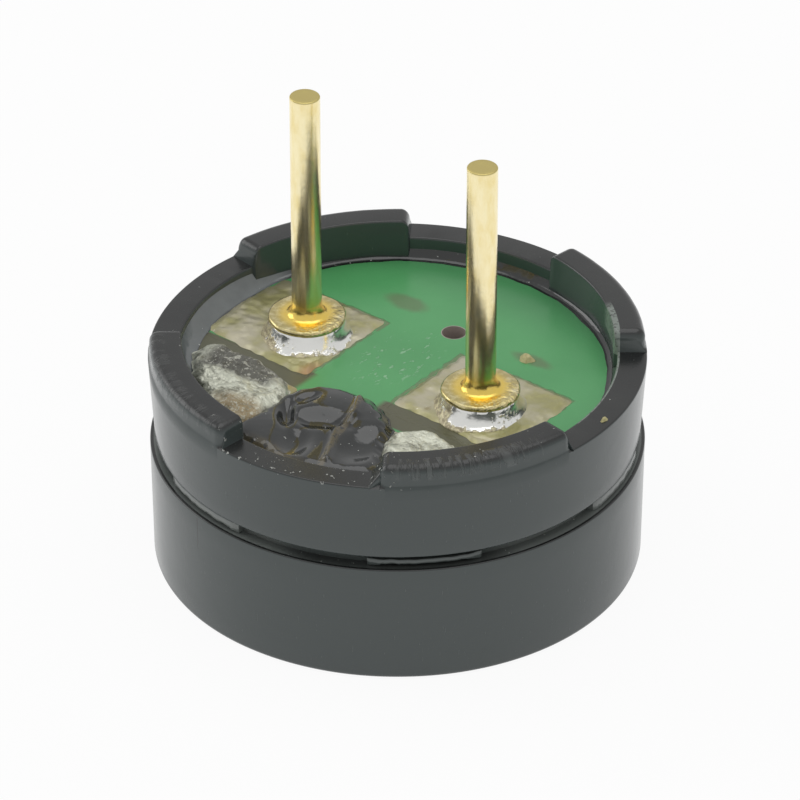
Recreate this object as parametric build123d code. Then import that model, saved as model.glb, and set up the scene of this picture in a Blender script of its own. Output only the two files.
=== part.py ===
"""Magnetic buzzer: a two-pin electromagnetic sound transducer for a circuit board.

The part stands on its sound face. +Z points along the pins, and X runs along the row of two pins.
The origin is the middle of the sound face. All sizes are in millimetres, all angles in degrees.
"""

import os

from build123d import *

# Case: a sound cup below, a pin ring above, and an open joint groove between them.
body_diameter = 9.0
cup_height = 2.34
cup_wall = 0.47
cup_draft = 0.03            # how much the cup's outside radius shrinks towards the sound face
cup_face_thickness = 0.5
cup_face_edge_radius = 0.10
sound_hole_diameter = 1.6
front_cavity_depth = 0.70   # from the inside of the sound face up to the cup's shoulder
cup_shoulder_width = 0.4
joint_gap = 0.21            # the height of the groove
joint_groove_depth = 0.2    # from the ring's outside to the bottom of the groove
ring_wall = 0.54            # at the rim, above the board
ring_draft = 0.09           # how much the ring's outside radius shrinks towards the joint
ring_ledge_width = 0.46     # the step inside the ring that carries the board
tongue_clearance = 0.03     # between the ring's tongue and the cup's bore, all round
seat_clearance = 0.05       # under the tongue
rim_above_board = 0.42

# Stand-offs on the rim and welded tabs over the joint groove.
lug_count = 4
lug_first_angle = 59.4
lug_width_angle = 46.5
lug_height = 0.39
lug_inset = 0.07            # how far the inner face stands in front of the ring's wall
lug_outer_inset = 0.02      # how far the outer face stands behind the rim's edge
lug_edge_radius = 0.15
lug_root_clearance = 0.05   # between the foot of a stand-off and the board
tab_count = 6
tab_first_angle = 15.0
tab_width_angle = 27.0
tab_recess = 0.05           # behind the ring's outside
tab_root_depth = 0.05       # how far a tab runs into the ring

# Board and its copper.
board_thickness = 0.5
board_clearance = 0.04      # between the board's edge and the stand-offs
land_thickness = 0.05
land_edge_margin = 0.12     # from the copper to the board's edge
pin_land_width = 2.25       # across the pin row
pin_land_y = 0.04           # the middle of the pin lands
pin_land_inner_left = 0.88  # from the pin's axis towards the middle of the board
pin_land_inner_right = 1.32
pin_land_outer_right = 1.18
lead_land_top = 1.45        # from the pin row to the near edge of a lead land
lead_land_inner = 0.95      # from the board's middle line
lead_land_width = 2.4
tool_hole_diameter = 0.44
tool_hole_offset = 1.65
wire_slot_width = 1.0

# Pins.
pin_pitch = 4.0
pin_row_x = -0.066          # the middle of the pin row stands a little off the case's axis
pin_row_y = -0.052
pin_diameter = 0.55
tail_diameter = 0.52        # just below the collar
tail_end_diameter = 0.44    # the tail tapers down to this, so that it starts easily in the board
pin_tip_height = 4.56       # from the rim to the pin's tip
pin_tip_chamfer = 0.04
pin_hole_clearance = 0.03
collar_diameter = 1.47
collar_thickness = 0.12
collar_top_above_board = 0.45
collar_flare = 0.14         # how far the flare stands out at the collar
collar_flare_height = 0.24
cone_base_diameter = 1.85
lead_solder_height = 0.3
lead_solder_margin = 0.1
lead_solder_slope = 25.0

# Resin over the wire slot, and the glue round the board.
glob_offset = 2.42          # from the pin row to the middle of the resin
glob_shift = 0.3
glob_half_width = 1.12
glob_half_length = 1.38
glob_height = 0.42
glob_edge_radius = 0.28
seal_width = 0.3
seal_height = 0.22

# Magnetic system, from the board down to the diaphragm.
yoke_thickness = 0.5
yoke_clearance = 0.03       # between the yoke's edge and the ring's bore
yoke_pin_clearance = 0.35   # round each pin's tail
core_diameter = 1.6
core_rivet_diameter = 1.1
pole_gap = 0.2              # from the core's tip to the diaphragm
magnet_gap = 0.25           # from the magnet to the diaphragm
magnet_thickness = 1.05
magnet_width = 0.75
magnet_edge_clearance = 0.2
coil_clearance = 0.05       # between the coil and the core
coil_magnet_space = 0.3     # leaves room for the wire ends
coil_end_space = 0.15       # between the coil and the core's tip
wire_diameter = 0.08
wire_spacing = 0.4          # between the two wire ends in the slot
wire_above_board = 0.1
wire_reach = 0.25           # how far a wire end runs into its solder
diaphragm_thickness = 0.05
diaphragm_clearance = 0.03
diaphragm_recess_depth = 0.10
diaphragm_seat_width = 0.25
weight_diameter = 3.0
weight_thickness = 0.25

# Radii that follow.
body_radius = body_diameter / 2
cup_bore = body_radius - cup_wall
tongue_radius = cup_bore - tongue_clearance
ring_foot_radius = body_radius - ring_draft
pocket_radius = body_radius - ring_wall
lug_inner_radius = pocket_radius - lug_inset
lug_outer_radius = body_radius - lug_outer_inset
board_radius = lug_inner_radius - board_clearance
ledge_bore = pocket_radius - ring_ledge_width
recess_radius = ledge_bore + diaphragm_seat_width + diaphragm_clearance
diaphragm_radius = recess_radius - diaphragm_clearance
yoke_radius = ledge_bore - yoke_clearance
magnet_outer = ledge_bore - magnet_edge_clearance
magnet_inner = magnet_outer - magnet_width
coil_inner = core_diameter / 2 + coil_clearance
coil_outer = magnet_inner - coil_magnet_space
pin_radius = pin_diameter / 2
tail_radius = tail_diameter / 2
tail_end_radius = tail_end_diameter / 2
groove_radius = ring_foot_radius - joint_groove_depth
land_radius = board_radius - land_edge_margin

# Heights that follow, from the sound face up.
shoulder_z = cup_face_thickness + front_cavity_depth
tongue_foot_z = shoulder_z + seat_clearance
ledge_z = tongue_foot_z + diaphragm_recess_depth
diaphragm_z = ledge_z - diaphragm_thickness
magnet_z = ledge_z + magnet_gap
core_z = ledge_z + pole_gap
coil_z = core_z + coil_end_space
yoke_z = magnet_z + magnet_thickness
board_z = yoke_z + yoke_thickness
board_top = board_z + board_thickness
land_top = board_top + land_thickness
rim_z = board_top + rim_above_board
lug_top = rim_z + lug_height
ring_foot_z = cup_height + joint_gap
collar_top = board_top + collar_top_above_board
collar_z = collar_top - collar_thickness
pin_tip = rim_z + pin_tip_height
wire_z = board_top + wire_above_board

TINY = 1e-4


def turned(points):
    """A solid of revolution about Z from an outline of (radius, height) points."""
    return revolve(Plane.XZ * make_face(Polyline(*points, close=True)), Axis.Z)


def disc(radius, bottom, top):
    """A flat round solid between two heights."""
    return Pos(0, 0, bottom) * extrude(Circle(radius), top - bottom)


def tube(outer, inner, bottom, top):
    """A flat ring between two heights."""
    return Pos(0, 0, bottom) * extrude(Circle(outer) - Circle(inner), top - bottom)


def sector(points, middle, width):
    """An outline of (radius, height) points turned through part of a circle."""
    face = Plane.XZ * make_face(Polyline(*points, close=True))
    return Rot(0, 0, middle - width / 2) * revolve(face, Axis.Z, width)


def circles_at(shape, radius, height):
    """The round edges of a shape that have one radius and lie at one height."""
    return [edge for edge in shape.edges().filter_by(GeomType.CIRCLE)
            if abs(edge.radius - radius) < TINY and abs(edge.center().Z - height) < TINY]


def sound_cup():
    """The case half with the sound hole, the front cavity and the shoulder under the ring."""
    foot = body_radius - cup_draft
    hole = sound_hole_diameter / 2
    cavity = cup_bore - cup_shoulder_width
    cup = turned([(hole, 0), (foot, 0), (body_radius, cup_height), (cup_bore, cup_height),
                  (cup_bore, shoulder_z), (cavity, shoulder_z), (cavity, cup_face_thickness),
                  (hole, cup_face_thickness)])
    foot_edge = circles_at(cup, foot, 0)
    mouth_edge = circles_at(cup, body_radius, cup_height)
    return fillet(mouth_edge, cup_wall / 10).fillet(cup_face_edge_radius, foot_edge)


def pin_ring():
    """The case half on the pin side: wall, ledge and tongue, with its stand-offs and tabs."""
    ring = turned([(tongue_radius, tongue_foot_z), (tongue_radius, cup_height),
                   (groove_radius, cup_height), (groove_radius, ring_foot_z),
                   (ring_foot_radius, ring_foot_z), (body_radius, rim_z), (pocket_radius, rim_z),
                   (pocket_radius, board_z), (ledge_bore, board_z), (ledge_bore, ledge_z),
                   (recess_radius, ledge_z), (recess_radius, tongue_foot_z)])
    lug_root = board_top + lug_root_clearance
    wall_middle = (pocket_radius + body_radius) / 2
    for index in range(lug_count):
        middle = lug_first_angle + index * 360 / lug_count
        lug = sector([(lug_inner_radius, lug_root), (wall_middle, lug_root), (wall_middle, rim_z),
                      (lug_outer_radius, rim_z), (lug_outer_radius, lug_top),
                      (lug_inner_radius, lug_top)], middle, lug_width_angle)
        top_edges = lug.edges().filter_by_position(Axis.Z, lug_top - TINY, lug_top + TINY)
        inner_edge = [edge for edge in top_edges.filter_by(GeomType.CIRCLE)
                      if abs(edge.radius - lug_inner_radius) < TINY]
        corners = [edge for edge in lug.edges().filter_by(Axis.Z)
                   if abs(edge.center().Z - (rim_z + lug_top) / 2) < TINY
                   and Vector(edge.center().X, edge.center().Y).length > wall_middle]
        outer_edges = [edge for edge in top_edges if edge not in inner_edge]
        lug = fillet(outer_edges + corners, lug_edge_radius)
        ring += lug
    for index in range(tab_count):
        middle = tab_first_angle + index * 360 / tab_count
        outer = ring_foot_radius - tab_recess
        inner = groove_radius - tab_root_depth
        ring += sector([(inner, cup_height), (outer, cup_height), (outer, ring_foot_z),
                        (inner, ring_foot_z)], middle, tab_width_angle)
    return ring


def wire_slot(radius, bottom, top):
    """The open slot at the edge of the board and the yoke for the coil's wire ends."""
    inner = coil_outer - wire_diameter
    length = radius + wire_slot_width - inner
    return Pos(0, -inner - length / 2, (bottom + top) / 2) * Box(wire_slot_width, length, top - bottom)


def pin_places():
    """The places of the left and the right pin along the row."""
    return {"left": pin_row_x - pin_pitch / 2, "right": pin_row_x + pin_pitch / 2}


def pin_hole(radius, bottom, top, side):
    """A round plug on one pin's axis, to cut its hole."""
    return Pos(pin_places()[side], pin_row_y, 0) * disc(radius, bottom, top)


def circuit_board():
    """The round board with its two pin holes, its tooling hole and its wire slot."""
    board = disc(board_radius, board_z, board_top) - wire_slot(board_radius, board_z, board_top)
    for side in pin_places():
        board -= pin_hole(tail_radius + pin_hole_clearance, board_z, board_top, side)
    return board - Pos(0, tool_hole_offset, 0) * disc(tool_hole_diameter / 2, board_z, board_top)


def pin_land(side):
    """The square copper land under one pin. The left one runs out to the board's edge."""
    x = pin_places()[side]
    if side == "left":
        low, high = -body_radius, x + pin_land_inner_left
    else:
        low, high = x - pin_land_inner_right, x + pin_land_outer_right
    box = Pos((low + high) / 2, pin_land_y) * Rectangle(high - low, pin_land_width)
    land = Pos(0, 0, board_top) * extrude(Circle(land_radius) & box, land_thickness)
    return land - pin_hole(tail_radius + pin_hole_clearance, board_top, land_top, side)


def lead_outline(side, margin):
    """The corner of the board that one wire end is soldered to, less a margin all round."""
    low, high = lead_land_inner + margin, lead_land_inner + lead_land_width - margin
    middle = (low + high) / 2 if side == "right" else -(low + high) / 2
    near = -lead_land_top - margin
    box = Pos(middle, (near - body_radius) / 2) * Rectangle(high - low, body_radius + near)
    return Circle(land_radius - margin) & box


def lead_land(side):
    """The copper land under one wire end."""
    return Pos(0, 0, board_top) * extrude(lead_outline(side, 0), land_thickness)


def pin(side):
    """A turned pin: tail through the board, collar, flare and straight shaft."""
    collar = collar_diameter / 2
    flare = pin_radius + collar_flare
    flare_top = collar_top + collar_flare_height
    shape = turned([(0, board_z), (tail_end_radius, board_z), (tail_radius, collar_z), (collar, collar_z),
                    (collar, collar_top), (flare, collar_top), (pin_radius, flare_top),
                    (pin_radius, pin_tip - pin_tip_chamfer), (pin_radius - pin_tip_chamfer, pin_tip),
                    (0, pin_tip)])
    collar_edges = circles_at(shape, collar, collar_z) + circles_at(shape, collar, collar_top)
    return Pos(pin_places()[side], pin_row_y, 0) * fillet(collar_edges, collar_thickness / 3)


def pin_solder(side):
    """The solder between a land and the pin's collar, hollow-sided as it wets both."""
    base = cone_base_diameter / 2
    neck = collar_diameter / 2 - collar_thickness / 4
    low, high = (base, land_top), (neck, collar_z)
    waist = (neck + (base - neck) * 0.35, land_top + (collar_z - land_top) * 0.4)
    outline = [ThreePointArc(low, waist, high), Polyline(high, (0, collar_z), (0, land_top), low)]
    cone = revolve(Plane.XZ * make_face(outline), Axis.Z)
    return Pos(pin_places()[side], pin_row_y, 0) * cone - pin(side)


def wire_end(side):
    """One end of the coil's wire: up through the slot, then over the board into its solder."""
    sign = -1 if side == "left" else 1
    x = sign * wire_spacing / 2
    y = -coil_outer
    reach = sign * (lead_land_inner + lead_solder_margin + wire_reach)
    drop = lead_land_top + lead_solder_margin + wire_reach
    start = coil_z + (yoke_z - coil_z) / 2
    path = FilletPolyline((x, y, start), (x, y, wire_z), (reach, -max(drop, coil_outer), wire_z),
                          radius=wire_diameter)
    return sweep(path=path, sections=(path ^ 0) * Circle(wire_diameter / 2))


def coil():
    """The winding and its two wire ends, which are all one wire."""
    winding = tube(coil_outer, coil_inner, coil_z, yoke_z)
    return winding + wire_end("left") + wire_end("right")


def lead_solder_block(side):
    """The solder over one wire end, before the wire is let into it."""
    outline = lead_outline(side, lead_solder_margin)
    return Pos(0, 0, land_top) * extrude(outline, lead_solder_height, taper=lead_solder_slope)


def lead_solder(side):
    """The solder over one wire end."""
    return lead_solder_block(side) - wire_end(side)


def epoxy_glob():
    """The drop of resin that fills the wire slot and covers the wires beside it."""
    outline = Pos(glob_shift, -glob_offset) * Ellipse(glob_half_width, glob_half_length)
    drop = Pos(0, 0, board_top) * extrude(outline, glob_height)
    drop = fillet(drop.faces().sort_by(Axis.Z)[-1].edges(), glob_edge_radius)
    drop &= disc(land_radius, board_top, board_top + glob_height)
    drop += wire_slot(board_radius, board_z, board_top) & disc(board_radius, board_z, board_top)
    for side in pin_places():
        drop -= lead_land(side)
        drop -= lead_solder_block(side)
        drop -= wire_end(side)
        drop -= pin_land(side)
    return drop


def board_seal():
    """The glue between the board's edge and the case, drawn up the wall by wetting."""
    inner = board_radius - seal_width / 3
    low, high = (inner, board_top), (pocket_radius, board_top + seal_height)
    waist = (pocket_radius - seal_width / 3, board_top + seal_height / 4)
    outline = [ThreePointArc(low, waist, high), Polyline(high, (pocket_radius, board_z),
                                                         (board_radius, board_z),
                                                         (board_radius, board_top), low)]
    return revolve(Plane.XZ * make_face(outline), Axis.Z) - pin_ring() - epoxy_glob()


def yoke():
    """The steel plate with its rivet hole, its holes round the pin tails and its wire slot."""
    plate = disc(yoke_radius, yoke_z, board_z) - wire_slot(yoke_radius, yoke_z, board_z)
    plate -= disc(core_rivet_diameter / 2, yoke_z, board_z)
    for side in pin_places():
        plate -= pin_hole(tail_radius + yoke_pin_clearance, yoke_z, board_z, side)
    return plate


def core():
    """The iron pole with the neck that is riveted into the yoke."""
    return disc(core_diameter / 2, core_z, yoke_z) + disc(core_rivet_diameter / 2, yoke_z, board_z)


def diaphragm_weight():
    """The small disc on the sound side of the diaphragm."""
    return disc(weight_diameter / 2, diaphragm_z - weight_thickness, diaphragm_z)


pieces = {
    "sound_cup": sound_cup(),
    "pin_ring": pin_ring(),
    "circuit_board": circuit_board(),
    "epoxy_glob": epoxy_glob(),
    "board_seal": board_seal(),
    "yoke": yoke(),
    "core": core(),
    "coil": coil(),
    "ring_magnet": tube(magnet_outer, magnet_inner, magnet_z, yoke_z),
    "diaphragm": disc(diaphragm_radius, diaphragm_z, ledge_z),
    "diaphragm_weight": diaphragm_weight(),
}
for side in pin_places():
    pieces[side + "_pin"] = pin(side)
    pieces[side + "_pin_land"] = pin_land(side)
    pieces[side + "_pin_solder"] = pin_solder(side)
    pieces[side + "_lead_land"] = lead_land(side)
    pieces[side + "_lead_solder"] = lead_solder(side)

os.makedirs("parts", exist_ok=True)
for name, shape in pieces.items():
    export_step(shape, "parts/" + name + ".step")
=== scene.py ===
import math

import bpy
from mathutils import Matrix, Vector, noise


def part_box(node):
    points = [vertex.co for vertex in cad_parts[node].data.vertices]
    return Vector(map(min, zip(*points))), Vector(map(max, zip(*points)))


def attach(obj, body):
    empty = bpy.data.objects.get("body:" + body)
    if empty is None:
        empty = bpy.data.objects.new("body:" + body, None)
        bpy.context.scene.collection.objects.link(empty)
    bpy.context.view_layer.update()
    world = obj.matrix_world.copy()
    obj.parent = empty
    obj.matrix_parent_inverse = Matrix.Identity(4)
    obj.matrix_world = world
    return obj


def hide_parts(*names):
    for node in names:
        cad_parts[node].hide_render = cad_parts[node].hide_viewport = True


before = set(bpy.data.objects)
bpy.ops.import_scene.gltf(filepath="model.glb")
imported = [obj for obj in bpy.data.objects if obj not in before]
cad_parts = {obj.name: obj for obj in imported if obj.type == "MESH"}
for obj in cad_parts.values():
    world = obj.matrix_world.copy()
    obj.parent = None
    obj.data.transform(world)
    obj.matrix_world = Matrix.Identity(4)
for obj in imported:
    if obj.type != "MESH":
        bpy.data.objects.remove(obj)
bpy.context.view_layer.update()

# ---------------------------------------------------------------------------------------------
# Sound cup: the lower half of the case, moulded in black glass-filled plastic with a glossy
# skin. It is drawn a little towards the sound face, and its mouth stands proud of the ring.
# ---------------------------------------------------------------------------------------------
MM = 0.001


class Tone:
    """A shader node's output. Sums on it add Math nodes to the same tree."""

    def __init__(self, tree, socket):
        self.tree, self.socket = tree, socket

    def node(self, kind, settings=None, sockets=None, out=0):
        """Any other node: its settings first, then the values or links of its sockets."""
        node = self.tree.nodes.new(kind)
        for name, value in (settings or {}).items():
            setattr(node, name, value)
        for name, value in (sockets or {}).items():
            if isinstance(value, Tone):
                self.tree.links.new(value.socket, node.inputs[name])
            else:
                node.inputs[name].default_value = value
        return Tone(self.tree, node.outputs[out])

    def sum(self, operation, *values):
        return self.node("ShaderNodeMath", {"operation": operation}, dict(enumerate(values)))

    def __add__(self, other):
        return self.sum("ADD", self, other)

    def __radd__(self, other):
        return self.sum("ADD", other, self)

    def __sub__(self, other):
        return self.sum("SUBTRACT", self, other)

    def __rsub__(self, other):
        return self.sum("SUBTRACT", other, self)

    def __mul__(self, other):
        return self.sum("MULTIPLY", self, other)

    def stretched(self, x, y, z):
        """A place with its axes scaled, for a grain that runs one way."""
        return self.node("ShaderNodeVectorMath", {"operation": "MULTIPLY"}, {0: self, 1: (x, y, z)})

    def from_point(self, x, y):
        """A place measured from an upright line through (x, y)."""
        return self.node("ShaderNodeVectorMath", {"operation": "SUBTRACT"}, {0: self, 1: (x, y, 0)})

    def cloud(self, size, detail=3.0, rough=0.5):
        """Soft noise with lumps of one size in millimetres, about 0.5 on average."""
        return self.node("ShaderNodeTexNoise", {}, {"Vector": self, "Scale": 1 / size,
                                                    "Detail": detail, "Roughness": rough})

    def between(self, low, high):
        """0 below one value, 1 above the other, and smooth in between."""
        return self.node("ShaderNodeMapRange", {"interpolation_type": "SMOOTHSTEP"},
                         {"Value": self, "From Min": low, "From Max": high})

    def paint(self, under, over):
        """One colour over another where this tone is 1."""
        return self.node("ShaderNodeMix", {"data_type": "RGBA"},
                         {0: self, 6: under, 7: over}, out=2)

    def size(self):
        """The value without its sign."""
        return self.sum("ABSOLUTE", self)

    def toward(self, degrees):
        """How squarely a place lies to one bearing round Z, 1 at most."""
        t = math.radians(degrees)
        flat = self.stretched(1, 1, 0)
        flat = flat.node("ShaderNodeVectorMath", {"operation": "NORMALIZE"}, {0: flat})
        return flat.node("ShaderNodeVectorMath", {"operation": "DOT_PRODUCT"},
                         {0: flat, 1: (math.cos(t), math.sin(t), 0)}, out=1)

    def length(self):
        """How long a vector is."""
        return self.node("ShaderNodeVectorMath", {"operation": "LENGTH"}, {0: self}, out=1)

    def spread(self, x, y, z):
        """A place made of three tones."""
        return self.node("ShaderNodeCombineXYZ", {}, {0: x, 1: y, 2: z})

    def part(self, axis):
        """One coordinate of a place, in millimetres."""
        return self.node("ShaderNodeSeparateXYZ", {}, {0: self}, out="XYZ".index(axis))


def colour(red, green, blue):
    """A colour from the 0 to 255 numbers of a paint chart."""
    straight = [(c / 255 / 12.92 if c <= 10 else ((c / 255 + 0.055) / 1.055) ** 2.4)
                for c in (red, green, blue)]
    return (*straight, 1.0)


def new_finish(name, **constants):
    """A material's shader with its constant sockets set, and its place in millimetres."""
    material = bpy.data.materials.new(name)
    material.use_nodes = True
    tree = material.node_tree
    shader = tree.nodes["Principled BSDF"]
    for socket, value in constants.items():
        shader.inputs[socket.replace("_", " ")].default_value = value
    place = tree.nodes.new("ShaderNodeTexCoord").outputs["Object"]
    return material, Tone(tree, place).stretched(1 / MM, 1 / MM, 1 / MM)


def finish_with(material, place, colours, roughness, metallic=None, heights=()):
    """Feeds what changes over the surface to the shader. heights are (tone, millimetres)."""
    shader = material.node_tree.nodes["Principled BSDF"]
    feeds = {"Base Color": colours, "Roughness": roughness, "Metallic": metallic}
    for socket, tone in feeds.items():
        if tone is not None:
            material.node_tree.links.new(tone.socket, shader.inputs[socket])
    normal = None
    for tone, depth in heights:
        sockets = {"Height": tone, "Distance": depth * MM, "Strength": 1.0}
        if normal is not None:
            sockets["Normal"] = normal
        normal = place.node("ShaderNodeBump", {}, sockets)
    if normal is not None:
        material.node_tree.links.new(normal.socket, shader.inputs["Normal"])
    return material


def arc(middle, radius, start, end, steps):
    """Points along a circle's arc, in degrees."""
    turns = [math.radians(start + (end - start) * k / steps) for k in range(steps + 1)]
    return [(middle[0] + radius * math.cos(t), middle[1] + radius * math.sin(t)) for t in turns]


def add_mesh(name, points, faces, material, sharp=40):
    """A smooth mesh object from points in millimetres."""
    mesh = bpy.data.meshes.new(name)
    mesh.from_pydata([Vector(p) * MM for p in points], [], faces)
    mesh.validate()
    mesh.shade_smooth()
    mesh.set_sharp_from_angle(angle=math.radians(sharp))
    piece = bpy.data.objects.new(name, mesh)
    bpy.context.collection.objects.link(piece)
    mesh.materials.append(material)
    return piece


def turn(name, loop_at, angles, material, whole=True, sharp=40):
    """Turns a closed outline of (radius, height) round Z. The outline may change with the angle."""
    points, faces = [], []
    for angle in angles:
        t = math.radians(angle)
        for radius, height in loop_at(angle):
            points.append((radius * math.cos(t), radius * math.sin(t), height))
    count = len(points) // len(angles)
    steps = len(angles) if whole else len(angles) - 1
    for i in range(steps):
        j = (i + 1) % len(angles)
        for k in range(count):
            m = (k + 1) % count
            faces.append((i * count + k, j * count + k, j * count + m, i * count + m))
    if not whole:
        faces.append(tuple(range(count - 1, -1, -1)))
        faces.append(tuple(range((len(angles) - 1) * count, len(angles) * count)))
    return add_mesh(name, points, faces, material, sharp)


def placed(piece, slot, *nodes):
    """Rides a piece on the body, does not use its slot, and lets it stand for its CAD nodes."""
    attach(piece, "root")
    if nodes:
        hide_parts(*nodes)
    return piece


def size_of(node):
    """The lowest and highest corner of a CAD node, in millimetres."""
    low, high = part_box(node)
    return Vector(low) / MM, Vector(high) / MM


cup_top = size_of("sound_cup")[1].z
ring_low, ring_high = size_of("pin_ring")
body_radius = (ring_high.x - ring_low.x) / 2
lug_top = ring_high.z
lug_height = 0.39
rim_z = lug_top - lug_height
groove_painted_light_top = cup_top + 0.2
groove_painted_light_radius = 4.42
lug_edge_radius = 4.14
witness_line_angle = 256.1


def case_finish():
    """Black moulded plastic: a fine skin, rub marks, dust on what faces up, and tool marks, with
    painted light on its walls, in the groove and along the rim's inner edge.
    """
    material, place = new_finish("case_black", IOR=1.6)
    cloudy = place.cloud(1.4)
    fine = place.cloud(0.05, 4.0)
    rubs = place.stretched(1, 1, 0.12).cloud(0.035, 5.0, 0.7).between(0.62, 0.72)
    specks = place.cloud(0.085, 2.0).between(0.735, 0.75)
    patches = place.cloud(0.7).between(0.45, 0.62)
    facing = place.node("ShaderNodeNewGeometry", {}, {}, out=1).part("Z").between(0.3, 0.8)
    dust = specks * patches * (facing * 0.85 + 0.05)
    haze = facing * cloudy.between(0.3, 0.75) * 0.5
    bearing = place.sum("ARCTAN2", place.part("Y"), place.part("X"))
    height = place.part("Z")
    reach = place.stretched(1, 1, 0).length()
    # Short marks across the outer edges of the two stand-offs nearest the resin.
    marks = place.spread(bearing * 40, height * 1.5, reach * 1.5).cloud(1.0, 4.0, 0.6)
    front = bearing.between(-0.95, -0.85) * (1 - bearing.between(-0.36, -0.26))
    left = (1 - bearing.between(-1.75, -1.65)) * bearing.between(-2.5, -2.4)
    band = height.between(rim_z + 0.12, rim_z + 0.2)
    band = band * reach.between(lug_edge_radius, lug_edge_radius + 0.08)
    marks = marks.between(0.46, 0.62) * band * (front + left * 0.25)
    # Fine dust in the nook between the same two stand-offs.
    nook = bearing.between(-1.75, -1.6) * (1 - bearing.between(-0.95, -0.8))
    grit = place.cloud(0.09, 4.0).between(0.655, 0.675) * nook
    grit = grit * height.between(rim_z - 0.05, rim_z - 0.02)
    # A thin witness line down the cup's wall.
    off = (bearing - math.radians(witness_line_angle - 360)) * body_radius
    line = 1 - off.size().between(0.008, 0.02)
    line = line * height.between(1.55, 1.75) * (1 - height.between(2.28, 2.3))
    base = haze.paint(colour(27, 29, 29), colour(42, 44, 42))
    # Painted light: the upright walls and undersides are painted paler than the tops, for the light
    # that falls on them.
    base = (1 - facing).paint(base, colour(62, 71, 70))
    # Painted light: the groove's inside, which lies in shade, is painted paler, least so on the
    # side with the widest tab.
    groove = height.between(cup_top - 0.03, cup_top - 0.01)
    groove = groove * (1 - height.between(groove_painted_light_top, groove_painted_light_top + 0.02))
    groove = groove * (1 - reach.between(groove_painted_light_radius, groove_painted_light_radius + 0.02))
    groove = groove * (1 - place.toward(308).between(0.85, 0.95) * 0.75)
    base = groove.paint(base, colour(112, 117, 114))
    base = (rubs * patches * 0.25).paint(base, colour(110, 114, 112))
    base = (marks * 0.3).paint(base, colour(112, 116, 114))
    base = (dust + grit * 0.8).paint(base, colour(196, 198, 192))
    base = (line * 0.6).paint(base, colour(14, 15, 15))
    # Painted highlight: a pale line along the inner edge of the rim, between two stand-offs.
    rim_edge_highlight = height.between(rim_z - 0.07, rim_z - 0.05) * fine.between(0.3, 0.5)
    rim_edge_highlight = rim_edge_highlight * (1 - reach.between(body_radius - 0.5, body_radius - 0.49))
    rim_edge_highlight = rim_edge_highlight * bearing.between(0.0, 0.05) * (1 - bearing.between(0.88, 0.95))
    base = (rim_edge_highlight * 0.7).paint(base, colour(150, 160, 152))
    roughness = 0.14 + cloudy * 0.1 + facing * 0.06 + (dust + grit) * 0.4
    roughness = roughness + rubs * 0.12 + marks * 0.2
    heights = [(fine, 0.0012), (cloudy, 0.012), (specks * patches + grit, 0.006), (marks, 0.02)]
    return finish_with(material, place, base, roughness, heights=heights)


case_black = case_finish()
cup_draft, cup_wall = 0.03, 0.47
cup_foot_radius = body_radius - cup_draft
cup_bore = body_radius - cup_wall
cup_shoulder = 0.4
cup_foot_round = 0.1
cup_lip_round = 0.03
sound_hole_radius, sound_hole_round = 0.8, 0.06
face_thickness = 0.5
cavity_depth = 0.7
cavity_top = face_thickness + cavity_depth


def cup_loop(angle):
    """The cup's section. Its wall waves by a hair, as a moulded wall does."""
    t = math.radians(angle)
    wave = 0.004 * noise.noise((3 * math.cos(t), 3 * math.sin(t), 5.0))
    foot, top = cup_foot_radius + wave, body_radius - 0.004 + wave * 0.5
    outline = [(sound_hole_radius, sound_hole_round), (sound_hole_radius + sound_hole_round, 0.0)]
    outline += arc((foot - cup_foot_round, cup_foot_round), cup_foot_round, -90, 0, 8)
    rise = (cup_top - cup_lip_round - cup_foot_round) / 6
    outline += [(foot + (top - foot) * k / 6, cup_foot_round + rise * k) for k in range(1, 6)]
    outline += arc((top - cup_lip_round, cup_top - cup_lip_round), cup_lip_round, 0, 90, 5)
    outline += [(cup_bore + 0.02, cup_top), (cup_bore, cup_top - 0.02), (cup_bore, cavity_top),
                (cup_bore - cup_shoulder, cavity_top), (cup_bore - cup_shoulder, face_thickness),
                (sound_hole_radius, face_thickness)]
    return outline


round_angles = [float(k) for k in range(360)]
sound_cup = turn("sound_cup_shell", cup_loop, round_angles, case_black)
placed(sound_cup, "case", "sound_cup")

# ---------------------------------------------------------------------------------------------
# Diaphragm and its weight: a rolled nickel-iron foil disc with a small steel disc fixed to its
# middle. Only what shows through the sound hole is ever seen.
# ---------------------------------------------------------------------------------------------


def rolled_metal(name, light, dark, grain, shine):
    """Bare metal with a grain along X, clouded by handling."""
    material, place = new_finish(name, Metallic=1.0)
    lines = place.stretched(0.06, 1, 1).cloud(grain, 4.0, 0.7)
    clouds = place.cloud(0.8)
    base = (lines * 0.6 + clouds * 0.5).between(0.3, 0.8).paint(dark, light)
    return finish_with(material, place, base, shine + lines * 0.15 + clouds * 0.1,
                       heights=[(lines, 0.002)])


foil = rolled_metal("nickel_foil", colour(196, 192, 180), colour(150, 146, 136), 0.03, 0.18)
plain_steel = rolled_metal("plain_steel", colour(176, 178, 180), colour(120, 122, 126), 0.05, 0.25)


def coat_node(node, material):
    """Gives a CAD node's own mesh a finish."""
    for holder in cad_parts[node].material_slots:
        holder.material = material


coat_node("diaphragm", foil)
coat_node("diaphragm_weight", plain_steel)

# ---------------------------------------------------------------------------------------------
# Magnetic system: a soft steel yoke with its riveted iron core, a sintered ring magnet, and a
# self-bonded winding of enamelled copper wire. All of it is shut in by the case and the board.
# ---------------------------------------------------------------------------------------------


def magnet_finish():
    """Sintered grey-black magnet with open pores."""
    material, place = new_finish("sintered_magnet", Metallic=0.4)
    pores = place.cloud(0.06, 5.0, 0.7)
    base = pores.between(0.35, 0.7).paint(colour(46, 47, 50), colour(92, 92, 94))
    return finish_with(material, place, base, 0.45 + pores * 0.25, heights=[(pores, 0.01)])


wire_spacing = 0.08


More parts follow.
